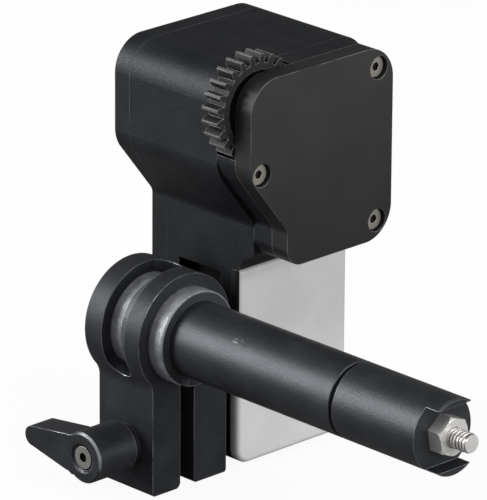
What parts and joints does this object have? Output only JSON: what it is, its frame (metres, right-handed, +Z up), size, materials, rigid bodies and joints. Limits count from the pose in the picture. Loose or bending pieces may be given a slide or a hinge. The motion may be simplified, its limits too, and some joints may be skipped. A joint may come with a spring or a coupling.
{
  "type": "follow focus motor unit",
  "caption": "Motor unit with a toothed drive gear in a slotted head on an arm, a split lever clamp beside the arm, and a stub of rod with a stud and nut at its end.",
  "frame": {"origin": "on the rod's axis, in the middle of the clamp's width", "axes": "+Z up, Y along the rod with its stud end towards -Y, the head's front plate faces -Y, and the lever stands on the -X side"},
  "size_m": [0.0619, 0.0996, 0.0878],
  "materials": {
    "main_housing": "black anodised, bead blasted",
    "rear_cover": "black anodised, bead blasted",
    "front_frame": "black anodised, bead blasted",
    "front_plate": "dark grey, smooth matt",
    "arm_front_cover": "pale grey, satin",
    "black_screws": "black oxide",
    "bright_screws": "nickel plated",
    "bearings": "ground steel",
    "drive_gear": "black anodised, worn bright at the tooth tips",
    "shafts": "ground steel",
    "motor_gear": "machined brass",
    "gearbox": "turned steel",
    "motor": "plated steel",
    "boards": "green solder mask",
    "board_parts": "black moulded",
    "power_socket": "plated, satin",
    "setting_button": "grey anodised",
    "status_lamp": "clear moulded",
    "clamp_block": "black anodised, bead blasted",
    "reducer_sleeve": "black anodised, bead blasted",
    "lever": "black anodised, bead blasted",
    "clamp_stud": "zinc plated",
    "spring": "spring steel",
    "rod": "black anodised, bead blasted",
    "rod_plug": "natural, machined"
  },
  "bodies": {
    "housing": {"main_housing": "main_housing", "rear_cover": "rear_cover", "rear_cover_screws": "black_screws", "front_frame": "front_frame", "frame_screws": "black_screws", "front_plate": "front_plate", "front_plate_screws": "bright_screws", "arm_front_cover": "arm_front_cover", "front_bearing": "bearings", "rear_bearing": "bearings", "gearbox": "gearbox", "gearbox_screws": "black_screws", "motor": "motor", "encoder_board": "boards", "control_board": "boards", "board_parts": "board_parts", "board_screws": "bright_screws", "power_socket": "power_socket", "button_switch": "board_parts", "status_lamp": "status_lamp", "clamp_block": "clamp_block", "clamp_screws": "black_screws", "lever_washer": "clamp_block"},
    "drive_wheel": {"drive_gear": "drive_gear", "gear_shaft": "shafts", "shaft_clip": "bearings"},
    "motor_output": {"motor_gear": "motor_gear", "output_shaft": "shafts"},
    "button": {"setting_button": "setting_button"},
    "sleeve": {"reducer_sleeve": "reducer_sleeve"},
    "rod": {"rod_tube": "rod", "rod_end": "rod", "rod_plug": "rod_plug", "end_stud": "bright_screws", "end_nut": "bright_screws"},
    "clamp_screw_shaft": {"clamp_stud": "clamp_stud", "lever_screw": "bright_screws", "lever_spring": "spring"},
    "lever": {"lever_handle": "lever"}
  },
  "joints": [
    {"name": "drive_spin", "type": "hinge", "parent": "housing", "child": "drive_wheel", "pos_m": [0.00835, -0.01605, 0.0462], "axis": [0, 1, 0], "continuous": true},
    {"name": "output_spin", "type": "hinge", "parent": "housing", "child": "motor_output", "pos_m": [0.02083, -0.01605, 0.03372], "axis": [0, 1, 0], "continuous": true},
    {"name": "button_press", "type": "slide", "parent": "housing", "child": "button", "axis": [-1, 0, 0], "range_m": [0, 0.0006], "stiffness_N_per_m": 300, "springref_m": -0.0005},
    {"name": "sleeve_turn", "type": "hinge", "parent": "housing", "child": "sleeve", "pos_m": [0, 0, 0], "axis": [0, 1, 0], "continuous": true},
    {"name": "rod_slide", "type": "slide", "parent": "sleeve", "child": "rod", "axis": [0, -1, 0], "range_m": [-0.042, 0.012]},
    {"name": "clamp_turn", "type": "hinge", "parent": "housing", "child": "clamp_screw_shaft", "pos_m": [-0.01, 0, -0.02225], "axis": [-1, 0, 0], "range_deg": [0, 350]},
    {"name": "lever_lift", "type": "slide", "parent": "clamp_screw_shaft", "child": "lever", "axis": [-1, 0, 0], "range_m": [0, 0.0025], "stiffness_N_per_m": 300, "springref_m": -0.001}
  ],
  "couplings": [
    {"joint": "output_spin", "follows": "drive_spin", "ratio": -1.2}
  ]
}
